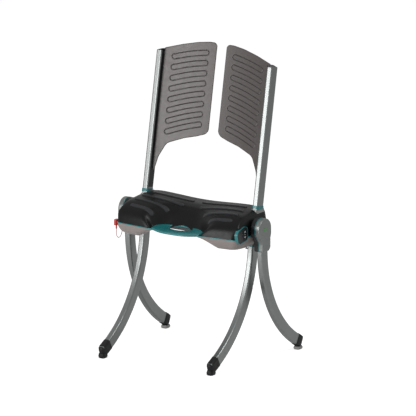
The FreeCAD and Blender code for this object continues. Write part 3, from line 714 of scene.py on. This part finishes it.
def build_foot(leg, side, material, sole_material):
    """Rubber boot pulled over the end of a curved leg, with a domed tip and a flat sole pad."""
    x, centre_y, centre_z, radius, direction, end, length = FEET[leg]
    sign = SIDES[side]
    section = resample(rounded_path(BOOT_SECTION, True, 0.8), 72, True)
    straight = length - BOOT_DOME
    stations = [(0.0, 0.93), (0.2, 0.99), (1.4, 1.0), (length * 0.4, 1.0), (straight, 1.0)]
    stations += [(straight + BOOT_DOME * math.sin(t), max(math.cos(t), 0.01) ** 0.62)
                 for t in np.linspace(0.15, math.pi / 2, 13)]
    points = []
    for travel, scale in stations:
        angle = math.radians(end) - (length - travel) / radius
        out = (direction * math.cos(angle), -math.sin(angle))
        for a, b in section:
            reach = radius + b * scale
            points.append((sign * x + a * scale, centre_y + out[0] * reach,
                           max(centre_z + out[1] * reach, 0.0)))
    faces = quads(len(stations), len(section), True)
    boot = mesh_piece(f"{leg}_boot_{side}", points, faces, material, 60)
    place(boot, f"{leg}_leg_{side}", "black_rubber", f"{leg}_foot_{side}")
    pad_y, tall = SOLES[leg]
    rings = []
    for z, wide, long in ((0.0, 7.4, 9.0), (0.0, 8.6, 10.6), (1.6, 10.2, 12.8), (0.5 * tall, 11.2, 14.0),
                          (tall, 10.6, 12.0)):
        loop = rounded_path([(-wide, -long, 6), (wide, -long, 6), (wide, long, 6), (-wide, long, 6)],
                            True, 0.8)
        rings.append([(sign * x + a, pad_y + b, z) for a, b in resample(loop, 40, True)])
    faces = quads(len(rings), 40, True) + [tuple(range(40))]
    pad = mesh_piece(f"{leg}_sole_{side}", [p for ring in rings for p in ring], faces, sole_material, 40)
    place(pad, f"{leg}_leg_{side}", "black_rubber")


MARK_Y = -61.0
ARROWS = ((432.9, -1), (408.6, 1))       # z of the tip and the side on which its tail lies
DOT = (420.7, 1.2)                       # z and radius


def build_marks(material):
    """Raised arrow, dot and arrow of the control panel."""
    x = BEZEL_FACE - 0.35
    points, faces = [], []

    def plate_at(outline):
        start = len(points)
        count = len(outline)
        points.extend((x - 0.9, y, z) for y, z in outline)
        points.extend((x + 0.3, y, z) for y, z in outline)
        faces.append(tuple(start + count + i for i in range(count)))
        faces.extend((start + i, start + (i + 1) % count, start + count + (i + 1) % count,
                      start + count + i) for i in range(count))

    for tip, turn in ARROWS:
        plate_at([(MARK_Y - 4.0, tip + turn * 5.2), (MARK_Y, tip), (MARK_Y + 4.0, tip + turn * 5.2),
                  (MARK_Y + 2.4, tip + turn * 6.6), (MARK_Y, tip + turn * 3.4),
                  (MARK_Y - 2.4, tip + turn * 6.6)])
    dot_z, radius = DOT
    plate_at([(MARK_Y + radius * math.cos(a), dot_z + radius * math.sin(a))
              for a in np.linspace(0, 2 * math.pi, 16, endpoint=False)])
    piece = mesh_piece("control_marks", points, faces, material, 30)
    return place(piece, "seat", "panel_black", "panel_lamp")


# ---- lanyard ---------------------------------------------------------------------------------------
LANYARD = [(-84, 381), (-85, 370), (-83, 360), (-77, 352), (-68, 349), (-59, 353), (-53, 361),
           (-51, 371), (-52, 382), (-57, 391), (-65, 398), (-74, 402)]
LANYARD_X = -235.0


def build_lanyard(diameter, material):
    """Braided loop that hangs from the red key."""
    route = [(LANYARD_X * MM, y * MM, z * MM) for y, z in LANYARD]
    curve = bpy.data.curves.new("lanyard_cord", "CURVE")
    curve.dimensions = "3D"
    curve.bevel_depth = diameter / 2
    spline = curve.splines.new("NURBS")
    spline.points.add(len(route) - 1)
    for point, at in zip(spline.points, route):
        point.co = (*at, 1)
    spline.order_u = 3
    spline.use_endpoint_u = True
    curve.materials.append(material)
    cord = new_object("lanyard_cord", curve)
    place(cord, "pull_key", "lanyard", "lanyard")


# ---- stage -----------------------------------------------------------------------------------------
FRONT_SOFTBOX = (-19, 8, 2.6, 1.2, 1.5)  # azimuth, elevation, distance, width, height
SIDE_SOFTBOX = (80, 56, 2.4, 0.7, 0.7)
LAMP_AIM = (0, 0, 0.55)
FLOOR_HALF = 9                           # half width of the floor in metres


def make_camera(stage):
    """Parallel camera at the chair's usual catalogue angle."""
    a, e = stage.azimuth, stage.elevation
    right = Vector((math.cos(a), math.sin(a), 0))
    up = Vector((-math.sin(a) * math.sin(e), math.cos(a) * math.sin(e), math.cos(e)))
    back = right.cross(up)
    data = bpy.data.cameras.new("camera")
    data.type = "ORTHO"
    data.ortho_scale = stage.width
    data.clip_end = 30
    camera = new_object("camera", data)
    place_at = right * stage.offset[0] + up * stage.offset[1] + back * 4.0
    turn = Matrix((right, up, back)).transposed().to_4x4()
    camera.matrix_world = Matrix.Translation(place_at) @ turn
    bpy.context.scene.camera = camera


def softbox(name, azimuth, elevation, distance, width, height, watts):
    """Rectangular area lamp that looks at the seat; angles in degrees, lengths in metres."""
    a, e = math.radians(azimuth), math.radians(elevation)
    direction = Vector((math.sin(a) * math.cos(e), -math.cos(a) * math.cos(e), math.sin(e)))
    data = bpy.data.lights.new(name, "AREA")
    data.shape = "RECTANGLE"
    data.size, data.size_y, data.energy = width, height, watts
    lamp = new_object(name, data)
    lamp.location = Vector(LAMP_AIM) + direction * distance
    lamp.rotation_euler = direction.to_track_quat("Z", "Y").to_euler()


def make_backdrop(stage):
    """Pale floor that keeps the chair's soft shadow, and a world that shows white."""
    material, tree, shader = finish("floor_matt_white", colour=linear("#F4F4F4"), roughness=0.9)
    path = add(tree, "ShaderNodeLightPath")
    shader.inputs["Emission Color"].default_value = (1, 1, 1, 1)
    glow = add(tree, "ShaderNodeMath", {0: path.outputs["Is Camera Ray"], 1: stage.floor_glow},
               operation="MULTIPLY")
    tree.links.new(glow.outputs[0], shader.inputs["Emission Strength"])
    mesh = bpy.data.meshes.new("floor")
    corners = [(a * FLOOR_HALF, b * FLOOR_HALF, 0) for a, b in ((-1, -1), (1, -1), (1, 1), (-1, 1))]
    mesh.from_pydata(corners, [], [(0, 1, 2, 3)])
    mesh.materials.append(material)
    new_object("floor", mesh)
    world = bpy.data.worlds.new("studio")
    bpy.context.scene.world = world
    world.use_nodes = True
    tree = world.node_tree
    tree.nodes.clear()
    path = add(tree, "ShaderNodeLightPath")
    shine = add(tree, "ShaderNodeMath", {0: path.outputs["Is Glossy Ray"], 1: stage.shine},
                operation="MULTIPLY")
    seen = add(tree, "ShaderNodeMath", {0: path.outputs["Is Camera Ray"],
                                        1: path.outputs["Is Transmission Ray"]}, operation="MAXIMUM")
    either = add(tree, "ShaderNodeMath", {0: seen.outputs[0], 1: shine.outputs[0]}, operation="MAXIMUM")
    soft = add(tree, "ShaderNodeBackground", {"Color": (1, 1, 1, 1), "Strength": stage.ambient})
    white = add(tree, "ShaderNodeBackground", {"Color": (1, 1, 1, 1), "Strength": 1.0})
    mixed = add(tree, "ShaderNodeMixShader", {0: either.outputs[0], 1: soft.outputs[0],
                                              2: white.outputs[0]})
    add(tree, "ShaderNodeOutputWorld", {"Surface": mixed.outputs[0]})
    bpy.context.scene.view_settings.view_transform = "Standard"


def dress(nodes, name):
    """Gives CAD nodes that stay visible their finish."""
    for node in nodes:
        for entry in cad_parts[node].material_slots:
            entry.material = material_for(name)


# ---- sizes and colours in the sidebar --------------------------------------------------------------
def colour_choice(name, description, hex_colour):
    """Colour in the sidebar, given in sRGB hex."""
    return bpy.props.FloatVectorProperty(name=name, description=description, subtype="COLOR", size=4,
                                         min=0.0, max=1.0, default=linear(hex_colour))


def length_choice(name, description, default, low, high):
    """Length in the sidebar, in metres."""
    return bpy.props.FloatProperty(name=name, description=description, default=default, min=low,
                                   max=high, unit="LENGTH")


class ChairShape(bpy.types.PropertyGroup):
    """Sizes of the chair's moulded details."""
    slots: bpy.props.IntProperty(name="Slots", description="Grooved slots on each back panel",
                                 default=8, min=0, max=12)
    groove_depth: length_choice("Groove Depth", "Depth of the slot outlines in the back panels",
                                0.0013, 0.0, 0.003)
    rib_height: length_choice("Rib Height", "How far the seat's grip ribs stand up", 0.0030, 0.0, 0.004)
    corner: length_choice("Seat Corner", "Radius of the seat's corners seen from above", 0.020, 0.005, 0.04)
    under_round: length_choice("Underside Rounding", "Width of the round edge below the seam",
                               0.026, 0.005, 0.04)
    edge: length_choice("Casting Grid", "Grid that rounds the edges of the knuckle castings",
                        0.0009, 0.0005, 0.003)
    cord: length_choice("Lanyard Thickness", "Diameter of the key's lanyard", 0.002, 0.001, 0.004)


class ChairColours(bpy.types.PropertyGroup):
    """Colours of the chair's outer finishes."""
    seat: colour_choice("Seat", "Moulded upper seat shell", "#0C0C0D")
    shell: colour_choice("Lower Shell", "Painted lower seat shell", "#857D7A")
    teal: colour_choice("Teal Trim", "Carry handle, seam, collars and buttons", "#1C7477")
    tube: colour_choice("Tube", "Anodised legs and posts", "#8A8D8C")
    panel: colour_choice("Back Panel", "Moulded halves of the backrest", "#4B4543")
    # Painted highlight: a paler tone on the seat's raised ribs, where they would catch the light.
    rib: colour_choice("Grip Ribs", "Rubbed tops of the ribs of the seat", "#2E2F31")
    # Partly painted shade: this dark tone in the panel's grooves stands for shade in the recess as well as
    # the groove's own dark line.
    groove: colour_choice("Slot Grooves", "Grooves of the back panels", "#0E0B14")
    strip: colour_choice("Post Strip", "Strip and caps of the posts", "#121315")
    knuckle: colour_choice("Knuckle", "Inner half of the hinge knuckles", "#17181A")
    cover: colour_choice("Knuckle Cover", "Outer half of the hinge knuckles", "#7C807E")
    rubber: colour_choice("Rubber", "Feet, buttons and caps", "#131416")
    sole: colour_choice("Sole", "Pads under the rear feet", "#8D8E8C")
    plate: colour_choice("Control Panel", "Film over the control panel", "#17191B")
    key: colour_choice("Safety Key", "Red pull key", "#B8231B")
    cord: colour_choice("Lanyard", "Braided loop of the key", "#A83A36")
    green: colour_choice("Inlay", "Round inlays of the knuckles", "#2F9A20")
    mark: colour_choice("Marks", "Arrows and dot of the control panel", "#C9CDCD")


class ChairStage(bpy.types.PropertyGroup):
    """Camera and light."""
    azimuth: bpy.props.FloatProperty(name="View Around", description="Camera angle to the chair's left",
                                     default=math.radians(33.1), subtype="ANGLE", unit="ROTATION")
    elevation: bpy.props.FloatProperty(name="View Up", description="Camera angle above level",
                                       default=math.radians(14.2), subtype="ANGLE", unit="ROTATION")
    width: bpy.props.FloatProperty(name="View Width", description="Width that the camera shows",
                                   default=1.2896, min=0.1, unit="LENGTH")
    offset: bpy.props.FloatVectorProperty(name="View Centre", size=2, default=(0.0413, 0.4472),
                                          description="Picture centre right of and above the origin",
                                          unit="LENGTH")
    ambient: bpy.props.FloatProperty(name="Ambient", description="Strength of the even studio light",
                                     default=0.42, min=0.0, max=2.0, subtype="FACTOR")
    shine: bpy.props.FloatProperty(name="Shine", description="Share of the white room in reflections",
                                   default=0.25, min=0.0, max=1.0, subtype="FACTOR")
    floor_glow: bpy.props.FloatProperty(name="Floor White", description="Lift of the floor to white",
                                        default=0.6, min=0.0, max=1.0, subtype="FACTOR")
    front_power: bpy.props.FloatProperty(name="Front Softbox", description="Lamp before the chair",
                                         default=36.0, min=0.0, unit="POWER")
    side_power: bpy.props.FloatProperty(name="Side Softbox", description="Lamp above the chair's left",
                                        default=18.0, min=0.0, unit="POWER")


# ---- operators -------------------------------------------------------------------------------------
class MakeStage(bpy.types.Operator):
    """Make the camera, the white backdrop and the softboxes"""
    bl_idname = "chair.make_stage"
    bl_label = "Stage"

    def execute(self, context):
        stage = context.scene.chair_stage
        make_camera(stage)
        make_backdrop(stage)
        softbox("front_softbox", *FRONT_SOFTBOX, stage.front_power)
        softbox("side_softbox", *SIDE_SOFTBOX, stage.side_power)
        return {"FINISHED"}


class MakeLanyard(bpy.types.Operator):
    """Make the braided loop of the pull key"""
    bl_idname = "chair.make_lanyard"
    bl_label = "Lanyard"

    def execute(self, context):
        build_lanyard(context.scene.chair_shape.cord, material_for("cord"))
        return {"FINISHED"}


class MakeSeat(bpy.types.Operator):
    """Make the upper and lower seat shells with the bead between them"""
    bl_idname = "chair.make_seat"
    bl_label = "Seat Shells"

    def execute(self, context):
        shape = context.scene.chair_shape
        build_top_shell(shape, material_for("seat"))
        build_under_shell(shape, material_for("shell"))
        build_seam_trim(material_for("teal"))
        dress(["shell_screws"], "steel")
        return {"FINISHED"}


class MakeHandle(bpy.types.Operator):
    """Make the carry handle with its hand hole"""
    bl_idname = "chair.make_handle"
    bl_label = "Carry Handle"

    def execute(self, context):
        build_handle(material_for("teal"))
        return {"FINISHED"}


class MakeControls(bpy.types.Operator):
    """Finish the control panel, its marks, the buttons and the safety key"""
    bl_idname = "chair.make_controls"
    bl_label = "Controls"

    def execute(self, context):
        build_marks(material_for("mark"))
        dress(["panel_bezel", "post_release_left", "post_release_right", "front_leg_release_left",
               "front_leg_release_right", "rear_leg_release_left", "rear_leg_release_right"], "teal")
        dress(["panel_plate"], "plate")
        dress(["up_button", "down_button", "charge_port_cap", "power_lead"], "rubber")
        dress(["pull_key"], "key")
        dress(["key_socket"], "strip")
        return {"FINISHED"}


class MakeBackrest(bpy.types.Operator):
    """Make the two curved panels and finish their posts"""
    bl_idname = "chair.make_backrest"
    bl_label = "Backrest"

    def execute(self, context):
        for side in SIDES:
            build_panel(side, context.scene.chair_shape, material_for("panel"))
        dress(["back_post_left", "back_post_right"], "tube")
        dress(["post_strip_left", "post_strip_right"], "strip")
        dress(["post_collars"], "teal")
        return {"FINISHED"}


class MakeKnuckles(bpy.types.Operator):
    """Make the rounded hinge knuckles with their teal seam and green inlay"""
    bl_idname = "chair.make_knuckles"
    bl_label = "Knuckles"

    def execute(self, context):
        grid = context.scene.chair_shape.edge / MM
        for side in SIDES:
            cover = melt(copy_of([f"knuckle_cover_{side}"], f"knuckle_cover_{side}_cast",
                                 material_for("cover")), grid, 5)
            place(cover, "lift", "knuckle_silver", f"knuckle_cover_{side}")
            inner = melt(copy_of([f"knuckle_inner_{side}"], f"knuckle_inner_{side}_cast",
                                 material_for("knuckle")), grid, 5)
            place(inner, "lift", "knuckle_black", f"knuckle_inner_{side}")
        dress(["knuckle_seam_left", "knuckle_seam_right"], "teal")
        dress(["knuckle_inlays"], "green")
        return {"FINISHED"}


class MakeLegs(bpy.types.Operator):
    """Finish the curved legs and make their rounded rubber feet"""
    bl_idname = "chair.make_legs"
    bl_label = "Legs and Feet"

    def execute(self, context):
        for side in SIDES:
            for leg, sole in (("front", "rubber"), ("rear", "sole")):
                build_foot(leg, side, material_for("rubber"), material_for(sole))
                dress([f"{leg}_leg_{side}"], "tube")
        dress(["front_leg_collars"], "teal")
        return {"FINISHED"}


class MakeDrive(bpy.types.Operator):
    """Finish the drive, battery and boards inside the seat"""
    bl_idname = "chair.make_drive"
    bl_label = "Drive"

    def execute(self, context):
        dress(["drive_shaft", "drive_gear", "motor_pinion"], "steel")
        dress(["shaft_bearings"], "bronze")
        dress(["chassis_frame", "motor_bracket"], "powder")
        dress(["post_sockets", "front_leg_sockets", "gearbox_housing"], "alloy")
        dress(["lift_motor"], "motor")
        dress(["battery_pack"], "battery")
        dress(["panel_board", "control_board"], "board")
        return {"FINISHED"}


OPERATORS = [MakeStage, MakeLanyard, MakeSeat, MakeHandle, MakeControls, MakeBackrest, MakeKnuckles,
             MakeLegs, MakeDrive]


class ChairPanel(bpy.types.Panel):
    """Lists the chair's pieces, sizes and colours"""
    bl_idname = "VIEW3D_PT_lifting_chair"
    bl_label = "Lifting Chair"
    bl_space_type = "VIEW_3D"
    bl_region_type = "UI"
    bl_category = "Chair"

    def draw(self, context):
        for group in (context.scene.chair_shape, context.scene.chair_colours, context.scene.chair_stage):
            box = self.layout.box()
            for name in group.__annotations__:
                box.prop(group, name)
        for operator in OPERATORS:
            self.layout.operator(operator.bl_idname)


GROUPS = {"chair_shape": ChairShape, "chair_colours": ChairColours, "chair_stage": ChairStage}


def register():
    for item in [*GROUPS.values(), *OPERATORS, ChairPanel]:
        bpy.utils.register_class(item)
    for name, group in GROUPS.items():
        setattr(bpy.types.Scene, name, bpy.props.PointerProperty(type=group))


def unregister():
    for name in GROUPS:
        delattr(bpy.types.Scene, name)
    for item in [ChairPanel, *reversed(OPERATORS), *GROUPS.values()]:
        bpy.utils.unregister_class(item)


def main():
    """Builds the whole chair."""
    register()
    for operator in OPERATORS:
        area, name = operator.bl_idname.split(".")
        getattr(getattr(bpy.ops, area), name)()


if __name__ == "__main__":
    main()
